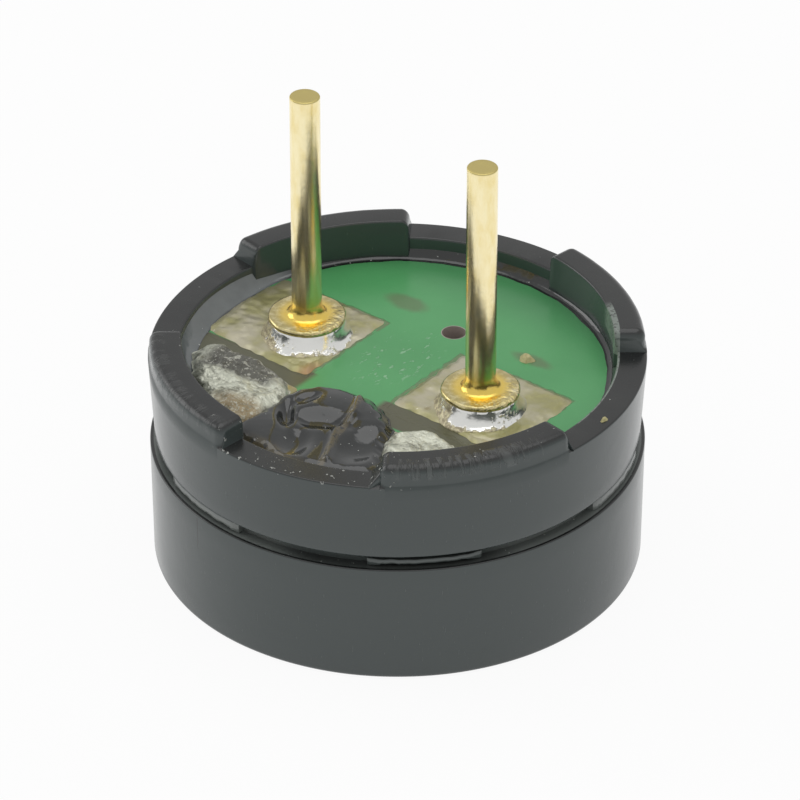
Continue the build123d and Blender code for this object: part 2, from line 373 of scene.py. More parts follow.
def winding_finish():
    """Layers of fine red-brown enamelled wire, seen as ribs round the coil."""
    material, place = new_finish("enamelled_wire", Metallic=0.85, Coat_Weight=0.6)
    ribs = place.sum("SINE", place.part("Z") * (2 * math.pi / wire_spacing))
    clouds = place.cloud(0.4)
    base = clouds.paint(colour(150, 74, 34), colour(196, 112, 56))
    return finish_with(material, place, base, 0.25 + clouds * 0.15, heights=[(ribs, 0.01)])


coat_node("ring_magnet", magnet_finish())
coat_node("coil", winding_finish())
coat_node("yoke", plain_steel)
coat_node("core", plain_steel)

# ---------------------------------------------------------------------------------------------
# Pin ring: the upper half of the case, in the same black plastic. Four stand-offs rise from its
# rim, and its foot stays clear of the cup, which leaves the joint groove all round.
# ---------------------------------------------------------------------------------------------
joint_gap, ring_draft, ring_wall = 0.21, 0.09, 0.54
ring_foot_z = cup_top + joint_gap
ring_foot_radius = body_radius - ring_draft
pocket_radius = body_radius - ring_wall
board_low, board_high = size_of("circuit_board")
board_top = board_high.z
tongue_radius = cup_bore - 0.03
# Each stand-off's two ends in degrees, and how far each end slopes out, in millimetres.
lugs = [(38.6, 82.6, 0.06, 0.04), (125.6, 170.6, 0.03, 0.05), (216.6, 264.6, 0.04, 0.05),
        (304.6, 351.6, 0.2, 0.04)]
groove_radius = ring_foot_radius - 0.2
lug_inner = pocket_radius - 0.07
lug_face = body_radius - 0.025
lug_round = 0.17
lug_plan_round = 0.16
rim_round, inner_round, foot_round = 0.035, 0.04, 0.04
lug_root = 0.18


def lug_state(angle):
    """How high the stand-off is at an angle, from 0 to 1, and how far its face is drawn in."""
    inside, lug_draft = max(min(((angle - low + 180) % 360 - 180, low_draft),
                                ((high - angle + 180) % 360 - 180, high_draft))
                            for low, high, low_draft, high_draft in lugs)
    inside = math.radians(inside) * body_radius
    step = (lug_height - lug_round) / lug_height
    if inside <= -lug_draft:
        return 0.0, 0.0
    if inside <= 0:
        return step * (1 + inside / lug_draft), lug_plan_round
    lift, pull = 1.0, 0.0
    if inside < lug_round:
        lift = step + math.sqrt(lug_round ** 2 - (lug_round - inside) ** 2) / lug_height
    if inside < lug_plan_round:
        pull = lug_plan_round - math.sqrt(lug_plan_round ** 2 - (lug_plan_round - inside) ** 2)
    return lift, pull


def blend(plain, raised, share):
    """Points part of the way from one outline to another with as many points."""
    return [(a[0] + (b[0] - a[0]) * share, a[1] + (b[1] - a[1]) * share)
            for a, b in zip(plain, raised)]


def ring_loop(angle):
    """The ring's section, which rises into a stand-off over parts of the rim."""
    t = math.radians(angle)
    around = (2.5 * math.cos(t), 2.5 * math.sin(t))
    wave = 0.005 * noise.noise((*around, 1.0))
    nick = 0.008 * noise.noise((9 * around[0], 9 * around[1], 2.0))
    lift, pull = lug_state(angle)
    outer = body_radius - 0.005 + wave
    foot = ring_foot_radius + wave
    low = [(tongue_radius, cup_top - 0.5), (tongue_radius, cup_top), (groove_radius, cup_top),
           (groove_radius, ring_foot_z)]
    low += arc((foot - foot_round, ring_foot_z + foot_round), foot_round, -90, 0, 4)
    rise = rim_z - rim_round - ring_foot_z - foot_round
    low += [(foot + (outer - foot) * k / 6, ring_foot_z + foot_round + rise * k / 6)
            for k in range(1, 6)]
    plain = [(outer, rim_z - rim_round)] * 4
    plain += arc((outer - rim_round, rim_z - rim_round), rim_round, 0, 90, 8)
    plain += [(pocket_radius + inner_round + 0.01, rim_z + nick * 0.3)]
    plain += arc((pocket_radius + inner_round, rim_z - inner_round), inner_round, 90, 180, 4)
    face = lug_face + nick * 0.5
    raised = [(outer, rim_z - rim_round * 0.4), (face, rim_z + 0.01 + nick * 0.4),
              (face - 0.004, rim_z + 0.06), (face - 0.01, lug_top - lug_round - 0.02)]
    raised += arc((face - 0.01 - lug_round, lug_top - lug_round), lug_round, 0, 90, 8)
    raised = [(r - pull * 0.9 * min(1.0, max(0.0, (z - rim_z) / 0.03)), z) for r, z in raised]
    raised += [(lug_inner + inner_round + 0.01, lug_top)]
    raised += arc((lug_inner + inner_round, lug_top - inner_round), inner_round, 90, 180, 4)
    crown = blend(plain, raised, lift)
    share = min(1.0, lift * 2)
    wall = [(pocket_radius + (lug_inner - pocket_radius) * share, z)
            for z in (board_top + lug_root, board_top - 0.02)]
    return low + crown + wall + [(pocket_radius, board_low.z + 0.1),
                                 (pocket_radius - 0.4, board_low.z), (pocket_radius - 0.4, 2.0)]


ring_angles = set(round_angles)
for low, high, low_draft, high_draft in lugs:
    for end, side, draft in ((low, -1, low_draft), (high, 1, high_draft)):
        ring_angles |= {(end + side * math.degrees(d * 0.005 / body_radius)) % 360
                        for d in range(-40, int(draft * 200) + 3)}
pin_ring = turn("pin_ring_shell", ring_loop, sorted(ring_angles), case_black, sharp=50)
placed(pin_ring, "case", "pin_ring")

# ---------------------------------------------------------------------------------------------
# Weld tabs: six places where the ring's foot was melted down onto the cup's mouth. Each one
# froze differently, with a torn lip of flash at its ends.
# ---------------------------------------------------------------------------------------------
tab_first, tab_count, tab_width = 15.0, 6, 27.0
tab_lip = 0.03
# For each tab, how far down the groove its full face starts and ends, from 0 at the ring.
tab_faces = [(0.0, 0.8), (0.0, 0.55), (0.1, 0.9), (0.0, 0.6), (0.0, 0.62), (0.25, 0.7)]


def weld_tab(index):
    """One melted tab across the groove."""
    middle = tab_first + index * 360 / tab_count
    start, end = tab_faces[index]
    gap = ring_foot_z - cup_top

    def loop(angle):
        away = abs(angle - middle) / (tab_width / 2)
        lump = noise.noise((angle * 0.35, index * 7.0, 1.0))
        fine = noise.noise((angle * 1.3, index * 7.0, 3.0))
        ends = max(0.0, (away - 0.72) / 0.28)
        full = start == 0
        face = ring_foot_radius - 0.02 * (not full) + 0.008 * lump
        face += 0.03 * ends * fine - 0.05 * ends ** 2
        high = ring_foot_z + 0.04 * full - gap * max(0.0, start + 0.05 * lump * (start > 0))
        low = ring_foot_z - gap * min(1.0, end + 0.07 * fine + 0.04 * lump + 0.35 * ends)
        body = (high - low) / 2
        inner = tongue_radius - 0.05
        outline = [(inner, cup_top - 0.01), (groove_radius, cup_top - 0.01), (groove_radius, low)]
        for k in range(9):
            t = math.pi * k / 8
            outline.append((face - tab_lip + tab_lip * math.sin(t) ** 0.6,
                            low + body - body * math.cos(t)))
        outline += [(groove_radius, high), (groove_radius, ring_foot_z + 0.01),
                    (inner, ring_foot_z + 0.01)]
        return outline

    steps = 60
    angles = [middle - tab_width / 2 + tab_width * k / steps for k in range(steps + 1)]
    tab = turn("weld_tab_%d" % (index + 1), loop, angles, case_black, whole=False)
    return placed(tab, "case")


for index in range(tab_count):
    weld_tab(index)

# ---------------------------------------------------------------------------------------------
# Circuit board: a round of glass laminate under a green solder coat, with darker foil runs that
# show through the coat, scuffs of flux that are partly painted glints, painted shade towards the
# back, and a small tooling hole.
# ---------------------------------------------------------------------------------------------
pin_left, pin_right = size_of("left_pin"), size_of("right_pin")
pin_places = [(pin_left[0].x + pin_left[1].x) / 2, (pin_right[0].x + pin_right[1].x) / 2]
pin_row_y = (pin_left[0].y + pin_left[1].y) / 2
tool_hole_y, tool_hole_radius = 1.65, 0.22


def spot(place, x, y, wide, deep, soft=0.35):
    """1 inside an oval round a point of the board, and 0 outside."""
    off = place.from_point(x, y).stretched(1 / wide, 1 / deep, 0)
    return 1 - off.length().between(1 - soft, 1 + soft)


def board_finish():
    """Green solder coat over laminate."""
    material, place = new_finish("green_solder_coat", IOR=1.5, Coat_Weight=0.25, Coat_Roughness=0.2)
    broad, weave = place.cloud(1.6), place.cloud(0.22)
    drift = place.node("ShaderNodeTexNoise", {}, {"Vector": place, "Scale": 4.0}, out=1)
    wander = place.node("ShaderNodeVectorMath", {"operation": "MULTIPLY_ADD"},
                        {0: drift, 1: (0.14, 0.14, 0), 2: place})
    base = broad.paint(colour(74, 156, 92), colour(96, 178, 112))
    # Painted shade: the board is painted darker towards the back, where the ring's back wall shades
    # it.
    dark = place.part("Y").between(2.2, 3.6) * 0.5
    base = dark.paint(base, colour(52, 112, 70))
    smudges = spot(wander, -1.25, 2.0, 0.42, 0.22) + spot(wander, 1.75, 1.85, 0.4, 0.16)
    base = (smudges * 0.5).paint(base, colour(108, 92, 72))
    # The coat's torn edge round the two pin lands.
    border = 0
    for middle, reach in ((-2.45, 1.34), (1.9, 1.24)):
        beyond = place.sum("MAXIMUM", (wander.part("X") - middle).size() - reach,
                           (wander.part("Y") - 0.05).size() - 1.15)
        border = border + beyond.between(-0.06, -0.02) * (1 - beyond.between(0.03, 0.07))
    base = (border * weave.between(0.3, 0.5) * 0.55).paint(base, colour(122, 96, 78))
    # A foil run that shows olive through the coat, between the two pin lands.
    strip = 1 - (place.part("Y") + 1.28 - place.part("X") * 0.05).size().between(0.3, 0.36)
    strip = strip * (place.part("X") + 0.3).size().between(0.68, 0.84)
    base = strip.paint(base, colour(92, 92, 68))
    # Pale scuffs, partly real scuffs on the coat and partly painted glints.
    scuffs_and_glints = place.stretched(1, 0.5, 1).cloud(0.11, 4.0, 0.6).between(0.6, 0.63)
    scuffs_and_glints = scuffs_and_glints * spot(place, -0.25, 0.35, 0.6, 1.0, 0.3)
    base = (scuffs_and_glints * 0.6).paint(base, colour(170, 214, 178))
    # Bare laminate in the wall of the tooling hole.
    hole = spot(place, 0, tool_hole_y, tool_hole_radius + 0.015, tool_hole_radius + 0.015, 0.04)
    base = hole.paint(base, colour(172, 160, 154))
    roughness = 0.3 + weave * 0.08 + scuffs_and_glints * 0.2
    heights = [(broad, 0.03), (weave, 0.004), (scuffs_and_glints, 0.006), (border, 0.01)]
    return finish_with(material, place, base, roughness, heights=heights)


coat_node("circuit_board", board_finish())

# ---------------------------------------------------------------------------------------------
# Copper lands: foil left bare for soldering and tinned by hand. Their tin has spread unevenly,
# and old flux has dried on it in beige and olive.
# ---------------------------------------------------------------------------------------------


def patch(name, outline, middle, height_at, rings, material, base_z):
    """A closed relief: an outline drawn in to its middle, with a height for every point."""
    points, faces = [], []
    count = len(outline)
    for ring in range(rings):
        share = ring / rings
        for x, y in outline:
            px, py = x + (middle[0] - x) * share, y + (middle[1] - y) * share
            points.append((px, py, height_at(px, py, share)))
    points.append((*middle, height_at(*middle, 1.0)))
    top = len(points) - 1
    points += [(x, y, base_z) for x, y in outline]
    for ring in range(rings - 1):
        for k in range(count):
            m = (k + 1) % count
            a, b = ring * count, (ring + 1) * count
            faces.append((a + k, a + m, b + m, b + k))
    last = (rings - 1) * count
    faces += [(last + k, last + (k + 1) % count, top) for k in range(count)]
    faces += [(top + 1 + k, top + 1 + (k + 1) % count, (k + 1) % count, k) for k in range(count)]
    faces.append(tuple(top + 1 + k for k in reversed(range(count))))
    return add_mesh(name, points, faces, material, 60)


def rounded_outline(corners, radius, wobble, seed, step=0.03):
    """A closed outline through corners given anticlockwise, rounded and a little unsteady."""
    smooth = []
    for k, corner in enumerate(corners):
        before, after = Vector(corners[k - 1]), Vector(corners[(k + 1) % len(corners)])
        here = Vector(corner)
        reach = min(radius, (before - here).length / 2.2, (after - here).length / 2.2)
        start = here + (before - here).normalized() * reach
        end = here + (after - here).normalized() * reach
        smooth += [start.lerp(here, i / 6).lerp(here.lerp(end, i / 6), i / 6) for i in range(7)]
    outline = []
    for k, point in enumerate(smooth):
        following = smooth[(k + 1) % len(smooth)]
        parts = max(1, int((following - point).length / step))
        outline += [point.lerp(following, i / parts) for i in range(parts)]
    middle = sum(outline, Vector((0, 0))) / len(outline)
    return [tuple(p + (p - middle).normalized() * wobble * noise.noise((p.x * 5, p.y * 5, seed)))
            for p in outline]


def smoothstep(value, low, high):
    """0 below one value, 1 above the other, smooth in between."""
    t = min(1.0, max(0.0, (value - low) / (high - low)))
    return t * t * (3 - 2 * t)


def land_finish():
    """Tinned copper under dried flux."""
    material, place = new_finish("fluxed_tin", IOR=1.5, Coat_Weight=0.35, Coat_Roughness=0.15)
    broad, fine = place.cloud(0.55), place.cloud(0.09, 4.0, 0.6)
    base = broad.between(0.35, 0.68).paint(colour(172, 168, 116), colour(200, 194, 170))
    base = fine.between(0.66, 0.74).paint(base, colour(232, 228, 204))
    brown = place.cloud(0.3, 4.0).between(0.66, 0.78)
    base = (brown * 0.5).paint(base, colour(136, 116, 74))
    amber = spot(place, -1.05, -1.15, 0.3, 0.45, 0.5)
    base = (amber * 0.75).paint(base, colour(184, 132, 84))
    roughness = 0.24 + broad * 0.2 + brown * 0.15
    metallic = 0.55 - brown * 0.45 - amber * 0.5
    heights = [(broad, 0.015), (fine, 0.005)]
    return finish_with(material, place, base, roughness, metallic, heights)


fluxed_tin = land_finish()


def land(name, corners, seed, *nodes):
    """One tinned land with its puddled tin."""
    outline = rounded_outline(corners, 0.12, 0.05, seed)
    middle = (sum(x for x, y in outline) / len(outline), sum(y for x, y in outline) / len(outline))

    def height(x, y, share):
        puddle = 0.5 + 0.5 * noise.noise((x * 1.8, y * 1.8, seed))
        grain = noise.noise((x * 7, y * 7, seed + 4))
        return board_top + (0.02 + 0.05 * puddle + 0.012 * grain) * smoothstep(share, -0.02, 0.1)

    piece = patch(name, outline, middle, height, 40, fluxed_tin, board_top - 0.01)
    return placed(piece, "land", *nodes)


left_low, left_high = size_of("left_pin_land")
right_low, right_high = size_of("right_pin_land")
land("left_land",
     [(left_low.x + 0.05, left_low.y + 0.02), (-1.7, left_low.y - 0.1),
      (left_high.x, left_low.y - 0.1), (left_high.x, left_high.y),
      (left_low.x + 0.15, left_high.y), (left_low.x, 0.0)],
     2.0, "left_pin_land")
land("right_land",
     [(right_low.x, right_low.y + 0.15), (1.5, right_low.y + 0.2),
      (right_high.x - 0.1, right_low.y), (right_high.x + 0.02, 0.0),
      (right_high.x + 0.02, right_high.y), (right_low.x, right_high.y)],
     9.0, "right_pin_land")
wire_land_corners = [(0.97, -1.6), (0.97, -3.55), (2.0, -3.1), (2.9, -2.3), (3.15, -1.6)]
land("left_wire_land", [(-x, y) for x, y in wire_land_corners], 4.0, "left_lead_land")
land("right_wire_land", wire_land_corners[::-1], 6.0, "right_lead_land")

# ---------------------------------------------------------------------------------------------
# Pins: drawn brass wire, turned with a collar and gilt. The gilding has fine die lines along
# the shaft and a dull sheared end; a warm yellow is painted where shaft and collar meet as a
# painted reflection, and the collar's rim is painted darker as painted shade.
# ---------------------------------------------------------------------------------------------
pin_radius = 0.275
pin_tip = pin_left[1].z
collar_radius = (pin_left[1].x - pin_left[0].x) / 2 - 0.02
collar_thickness = 0.12
collar_top = board_top + 0.45
collar_foot = collar_top - collar_thickness
flare, flare_height = 0.14, 0.24
tip_round = 0.03


def gilt_finish(name, axis_x):
    """Gilding over drawn brass: matt at the tip, painted darker on the collar's rim as painted
    shade, and painted a warm yellow low on the shaft as a painted reflection.
    """
    material, place = new_finish(name, Metallic=1.0)
    off = place.from_point(axis_x, pin_row_y)
    lines = off.stretched(1, 1, 0.03).cloud(0.025, 4.0, 0.65)
    blots = off.stretched(1, 1, 0.35).cloud(0.16, 4.0, 0.6)
    height = place.part("Z")
    reach = off.stretched(1, 1, 0).length()
    collar_rim = (1 - height.between(collar_top + 0.02, collar_top + 0.06)) * reach.between(0.4, 0.5)
    low = 1 - height.between(collar_top + 0.05, collar_top + 0.6)
    low = low * (1 - reach.between(0.38, 0.62))
    tip = height.between(pin_tip - 0.035, pin_tip - 0.01)
    base = blots.between(0.3, 0.75).paint(colour(252, 240, 196), colour(244, 226, 166))
    # Painted shade: the collar's rim is painted a darker, blotched gold.
    base = (collar_rim * blots.between(0.2, 0.6)).paint(base, colour(198, 184, 130))
    # Painted reflection: the shaft low by the collar is painted a warm yellow.
    base = (low * 0.85).paint(base, colour(250, 214, 92))
    base = (lines.between(0.62, 0.78) * 0.3).paint(base, colour(190, 164, 100))
    base = tip.paint(base, colour(206, 190, 124))
    roughness = 0.14 + blots * 0.1 + tip * 0.22 + lines * 0.04
    crinkle = off.cloud(0.08, 3.0) * collar_rim * off.toward(0).between(0.1, 0.8)
    heights = [(lines, 0.002), (blots, 0.005), (crinkle, 0.04)]
    return finish_with(material, place, base, roughness, heights=heights)


def make_pin(name, axis_x, node, seed):
    """One pin, turned about its own axis and set down on its place."""
    shaft = pin_tip - tip_round - collar_top - flare_height
    tail_radius = pin_radius - 0.03
    outline = [(0.0, board_top - 0.4), (tail_radius, board_top - 0.4),
               (tail_radius, collar_foot - 0.02)]
    edge = collar_thickness / 2
    outline += arc((collar_radius - edge, collar_foot + edge), edge, -90, 90, 10)
    outline += [(pin_radius + flare * (1 - math.sin(t)),
                 collar_top + flare_height * (1 - math.cos(t)))
                for t in (math.pi / 2 * k / 8 for k in range(9))]
    outline += [(pin_radius, collar_top + flare_height + shaft * k / 10) for k in range(1, 11)]
    outline += arc((pin_radius - tip_round, pin_tip - tip_round), tip_round, 0, 90, 5)[1:]
    outline += [(pin_radius * 0.6, pin_tip - 0.002), (0.0, pin_tip - 0.004)]
    segments = 96
    points, faces = [], []
    for k in range(segments):
        t = 2 * math.pi * k / segments
        for radius, height in outline[1:-1]:
            rough = noise.noise((axis_x + 3 * math.cos(t), 3 * math.sin(t), height * 2 + seed))
            crumple = smoothstep(radius, pin_radius + 0.02, collar_radius)
            swell = 1 + rough * (0.012 * crumple + 0.004)
            lift = 0.012 * crumple * noise.noise((2 * math.cos(t), 2 * math.sin(t), seed))
            points.append((axis_x + radius * swell * math.cos(t),
                           pin_row_y + radius * swell * math.sin(t), height + lift))
    count = len(outline) - 2
    for k in range(segments):
        m = (k + 1) % segments
        for i in range(count - 1):
            faces.append((k * count + i, m * count + i, m * count + i + 1, k * count + i + 1))
    points += [(axis_x, pin_row_y, outline[0][1]), (axis_x, pin_row_y, outline[-1][1])]
    for k in range(segments):
        m = (k + 1) % segments
        faces.append((m * count, k * count, len(points) - 2))
        faces.append((k * count + count - 1, m * count + count - 1, len(points) - 1))
    piece = add_mesh(name, points, faces, gilt_finish(name + "_gilt", axis_x), 50)
    return placed(piece, "pin", node)


make_pin("left_pin_turned", pin_places[0], "left_pin", 3.0)
make_pin("right_pin_turned", pin_places[1], "right_pin", 8.0)

# ---------------------------------------------------------------------------------------------
# Pin solder: soft solder drawn up from each land to the underside of the collar. It froze as
# smooth as a mirror, with beige flux and a few beads left round its foot.
# ---------------------------------------------------------------------------------------------
solder_foot = 0.85


def solder_finish(name, axis_x):
    """Bright soft solder, with flux dried on one side and round the foot."""
    material, place = new_finish(name)
    off = place.from_point(axis_x, pin_row_y)
    lumps, fine = place.cloud(0.35), place.cloud(0.07, 4.0, 0.6)
    reach = off.stretched(1, 1, 0).length()
    side = off.toward(222).between(0.6, 0.9) * 0.28 + reach.between(0.78, 0.9) * 0.25
    flux = (place.cloud(0.28, 4.0) * 0.8 + fine * 0.3 + side).between(0.66, 0.78)
    dried = fine.between(0.4, 0.62).paint(colour(136, 120, 78), colour(206, 196, 152))
    base = (flux * 0.85).paint(colour(250, 250, 246), dried)
    roughness = 0.13 + lumps * 0.1 + flux * 0.15
    return finish_with(material, place, base, roughness, 1.0 - flux * 0.55,
                       [(lumps, 0.012), (fine * flux, 0.02)])



def bump_at(angle, middle, width):
    """1 at one angle in degrees, falling off smoothly to both sides."""
    apart = (angle - middle + 180) % 360 - 180
    return math.exp(-(apart / width) ** 2)


def pin_joint(name, axis_x, node, seed):
    """The solder round one pin, hollow under the collar and rounded at its foot."""
    segments = 144

    def foot(t):
        wander = noise.noise((1.4 * math.cos(t), 1.4 * math.sin(t), seed))
        return solder_foot + 0.1 * bump_at(math.degrees(t), 300, 40) + 0.05 * wander

    turns = [2 * math.pi * k / segments for k in range(segments)]
    outline = [(axis_x + foot(t) * math.cos(t), pin_row_y + foot(t) * math.sin(t)) for t in turns]

    def height(x, y, share):
        t = math.atan2(y - pin_row_y, x - axis_x)
        edge = foot(t)
        inward = (edge - math.hypot(x - axis_x, y - pin_row_y)) / (edge - collar_radius + 0.03)
        inward = min(1.0, max(0.0, inward))
        lumps = noise.noise((x * 2.2, y * 2.2, seed))
        rough = bump_at(math.degrees(t), 222, math.sqrt(1200))
        bead = max(0.0, noise.noise((x * 5.5, y * 5.5, seed + 3)) - 0.2 + 0.25 * rough)
        bead *= 1 + 2.5 * rough
        rise = 0.05 * smoothstep(inward, -0.15, 0.4) + 0.29 * inward ** 2.4
        return board_top + 0.01 + rise + (0.06 * lumps + 0.1 * bead) * inward * (1.1 - inward)

    piece = patch(name, outline, (axis_x, pin_row_y), height, 60,
                  solder_finish(name + "_metal", axis_x), board_top)
    return placed(piece, "solder", node)


pin_joint("left_pin_joint", pin_places[0], "left_pin_solder", 12.0)
pin_joint("right_pin_joint", pin_places[1], "right_pin_solder", 17.0)

# ---------------------------------------------------------------------------------------------
# Wire solder: two hand-made joints over the coil's wire ends. Their front froze in pale folds,
# their back is crinkled under dark flux, and the flux is burnt brown towards the resin.
# ---------------------------------------------------------------------------------------------


def cold_solder_finish():
    """Dull solder: pale on its folds, dark under flux at the back, brown at the burnt end."""
    material, place = new_finish("cold_solder", Coat_Weight=0.3, Coat_Roughness=0.15)
    folds, fine = place.stretched(0.7, 1.3, 1).cloud(0.2, 5.0, 0.6), place.cloud(0.05, 4.0, 0.65)
    base = (folds + (fine - 0.5) * 0.3).between(0.32, 0.54)
    base = base.paint(colour(138, 138, 122), colour(214, 216, 200))
    back = (place.part("Y") + place.part("X") * -0.1 + folds * 0.5 + 1.78).between(-0.08, 0.1)
    across = place.part("X") + (folds - 0.5) * 0.6
    back = back * across.between(-2.95, -2.6) * (1 - across.between(-1.4, -1.0))
    base = (back * 0.85).paint(base, colour(66, 64, 58))
    glint = (fine.between(0.6, 0.64) + place.cloud(0.13, 4.0).between(0.56, 0.62) * 0.7) * back
    base = glint.paint(base, colour(216, 216, 204))
    burnt = spot(place, -1.2, -3.05, 0.6, 0.34, 0.5) * folds.between(0.2, 0.4)
    base = (burnt * (0.9 - fine.between(0.5, 0.62) * 0.6)).paint(base, colour(158, 138, 100))
    roughness = 0.26 + folds * 0.25
    metallic = 0.75 - burnt * 0.5 - back * 0.45
    return finish_with(material, place, base, roughness, metallic,
                       [(folds, 0.06), (fine * (back + 0.4), 0.035)])


cold_solder = cold_solder_finish()


def wire_joint(name, corners, node, seed, top):
    """One folded joint."""
    outline = rounded_outline(corners, 0.25, 0.08, seed, 0.025)
    middle = (sum(x for x, y in outline) / len(outline), sum(y for x, y in outline) / len(outline))

    def height(x, y, share):
        body = smoothstep(share, -0.1, 0.3) * top
        bend = 0.35 * noise.noise((x * 1.2, y * 1.2, seed + 9))
        fold = noise.noise((x * 1.1 + bend, y * 3.4 + x * 0.8 + bend, seed))
        crumb = noise.fractal((x * 4, y * 4, seed), 1.0, 2.0, 4)
        return board_top + 0.04 + smoothstep(share, 0.0, 0.12) * (body * (0.75 + 0.35 * fold)
                                                                  + 0.035 * crumb)

    piece = patch(name, outline, middle, height, 60, cold_solder, board_top)
    return placed(piece, "solder", node)


wire_joint("left_wire_joint",
           [(-3.3, -1.85), (-2.7, -2.55), (-1.9, -3.15), (-1.3, -3.45), (-0.85, -3.2),
            (-0.68, -2.2), (-1.2, -1.6), (-2.1, -1.42), (-3.0, -1.42)],
           "left_lead_solder", 4.0, 0.3)
wire_joint("right_wire_joint",
           [(1.3, -1.75), (1.45, -2.45), (2.2, -2.8), (2.8, -2.0), (2.6, -1.45), (1.8, -1.35)],
           "right_lead_solder", 6.0, 0.27)

# ---------------------------------------------------------------------------------------------
# Resin: a drop of black casting resin over the wire slot. It ran out to the case wall and set
# with a skin of broad flats and hollows, and one long wrinkle of flux across it.
# ---------------------------------------------------------------------------------------------
wrinkle = [(0.3, -1.45), (0.55, -1.9), (0.65, -2.55), (1.05, -3.3)]
# Each flat or hollow of the skin: its middle, its reach both ways, its turn in degrees, its depth.
skin_waves = [((-0.1, -1.85), (0.6, 0.4), 20, 0.05), ((-0.5, -3.2), (0.9, 0.45), -15, 0.06),
              ((0.9, -1.75), (0.4, 0.5), 30, 0.05), ((-0.45, -2.6), (0.14, 0.4), 35, -0.15),
              ((-0.45, -2.0), (0.15, 0.25), -20, -0.08), ((0.2, -2.4), (0.5, 0.24), 20, -0.15),
              ((0.2, -3.15), (0.3, 0.5), 25, -0.15), ((1.25, -2.6), (0.35, 0.5), 0, -0.11)]


def resin_finish(name, streak=0.0):
    """Black glossy resin: brown flux along a wrinkle, or, on the glue, a painted grey reflection on
    its left and a painted highlight where it meets the wall.
    """
    material, place = new_finish(name, IOR=1.7)
    broad, fine = place.cloud(0.5), place.cloud(0.08, 4.0)
    base = broad.paint(colour(20, 23, 23), colour(34, 38, 37))
    if streak:
        lean = place.part("X") + (place.part("Y") + 2.4) * 0.36 - 0.66 + (broad - 0.5) * 0.2
        line = 1 - lean.size().between(0.03, 0.1)
        foot = spot(place, 0.15, -3.75, 0.8, 0.22, 0.5)
        brown = (line + foot * 0.8) * streak * fine.between(0.3, 0.5)
        base = brown.paint(base, colour(96, 86, 58))
    else:
        reach = place.stretched(1, 1, 0).length()
        # Painted reflection: the glue is painted grey over its left side.
        left_glue_reflection = place.toward(190).between(0.84, 0.9) * reach.between(3.66, 3.72)
        base = (left_glue_reflection * (0.75 + (broad - 0.5) * 0.5)).paint(base, colour(128, 134, 136))
        # Painted highlight: a thin pale line where the glue climbs the wall.
        nook = reach.between(3.86, 3.88) * (1 - reach.between(3.91, 3.93))
        nook = nook * place.toward(293).between(0.96, 0.98)
        base = (nook * fine.between(0.3, 0.5)).paint(base, colour(168, 176, 170))
    dust = place.cloud(0.07, 2.0).between(0.74, 0.75)
    base = dust.paint(base, colour(180, 182, 178))
    return finish_with(material, place, base, 0.06 + broad * 0.1 + dust * 0.5,
                       heights=[(broad, 0.012), (fine, 0.001)])


black_resin = resin_finish("black_resin", 0.8)
glob_corners = [(-1.02, -2.6), (-1.0, -3.2), (-1.1, -3.78), (0.0, -3.93), (1.0, -3.82),
                (2.2, -3.25), (1.75, -2.4), (1.25, -1.6), (0.55, -1.15), (-0.2, -1.1),
                (-0.85, -1.4), (-1.08, -2.1)]
glob_middle = (0.2, -2.45)
glob_top = size_of("epoxy_glob")[1].z


def glob_height(x, y, share):
    """The resin's skin: a low dome with its flats, hollows and wrinkle."""
    dome = smoothstep(share, -0.04, 0.24)
    height = 0.2 * dome + 0.06 * smoothstep(share, 0.1, 1.0)
    height += 0.02 * noise.noise((x * 1.5, y * 1.5, 20.0)) * dome
    for (mx, my), (wide, deep), lean, rise in skin_waves:
        t = math.radians(lean)
        across = ((x - mx) * math.cos(t) + (y - my) * math.sin(t)) / wide
        along = ((y - my) * math.cos(t) - (x - mx) * math.sin(t)) / deep
        height += rise * math.exp(-(across ** 2 + along ** 2) ** 1.4) * min(1.0, dome * 1.5)
    here = Vector((x, y))
    away = 9.0
    for start, end in zip(wrinkle, wrinkle[1:]):
        run = Vector(end) - Vector(start)
        t = min(1.0, max(0.0, (here - Vector(start)).dot(run) / run.length_squared))
        away = min(away, (here - Vector(start) - run * t).length)
    height += 0.08 * math.exp(-(away / 0.08) ** 2) * dome
    return board_top + 0.01 + min(max(height, 0.0), glob_top - board_top - 0.02)


glob_outline = rounded_outline(glob_corners, 0.5, 0.05, 30.0, 0.03)
glob = patch("resin_glob", glob_outline, glob_middle, glob_height, 80, black_resin,
             board_top - 0.02)
placed(glob, "resin", "epoxy_glob")

# ---------------------------------------------------------------------------------------------
# Board glue: a thin black adhesive run into the gap round the board. It wetted the wall and crept
# over the board's edge further in some places than in others.
# ---------------------------------------------------------------------------------------------
black_glue = resin_finish("board_glue")
glue_inner_radius = 3.78


def glue_loop(angle):
    """The glue's section: flat in the gap, hollow where it climbs the wall."""
    t = math.radians(angle)
    unsteady = noise.fractal((6 * math.cos(t), 6 * math.sin(t), 40.0), 1.0, 2.0, 4)
    inner = glue_inner_radius + 0.035 * unsteady
    inner -= 0.42 * bump_at(angle, 236, 15)
    inner -= 0.2 * bump_at(angle, 322, 16)
    bevel = bump_at(angle, 190, 26)
    climb = 0.2 + 0.03 * noise.noise((2 * math.cos(t), 2 * math.sin(t), 41.0)) + 0.13 * bevel
    wall = pocket_radius + 0.01
    inner -= 0.12 * bevel
    hollow = 2.6 - 1.5 * bevel
    outline = [(inner, board_top - 0.03), (inner, board_top + 0.008)]
    for k in range(1, 11):
        s = k / 10
        outline.append((inner + (wall - inner) * s, board_top + 0.008 + climb * s ** hollow))
    return outline + [(wall, board_top - 0.1)]


glue = turn("board_glue_bead", glue_loop, round_angles, black_glue)
placed(glue, "resin", "board_seal")

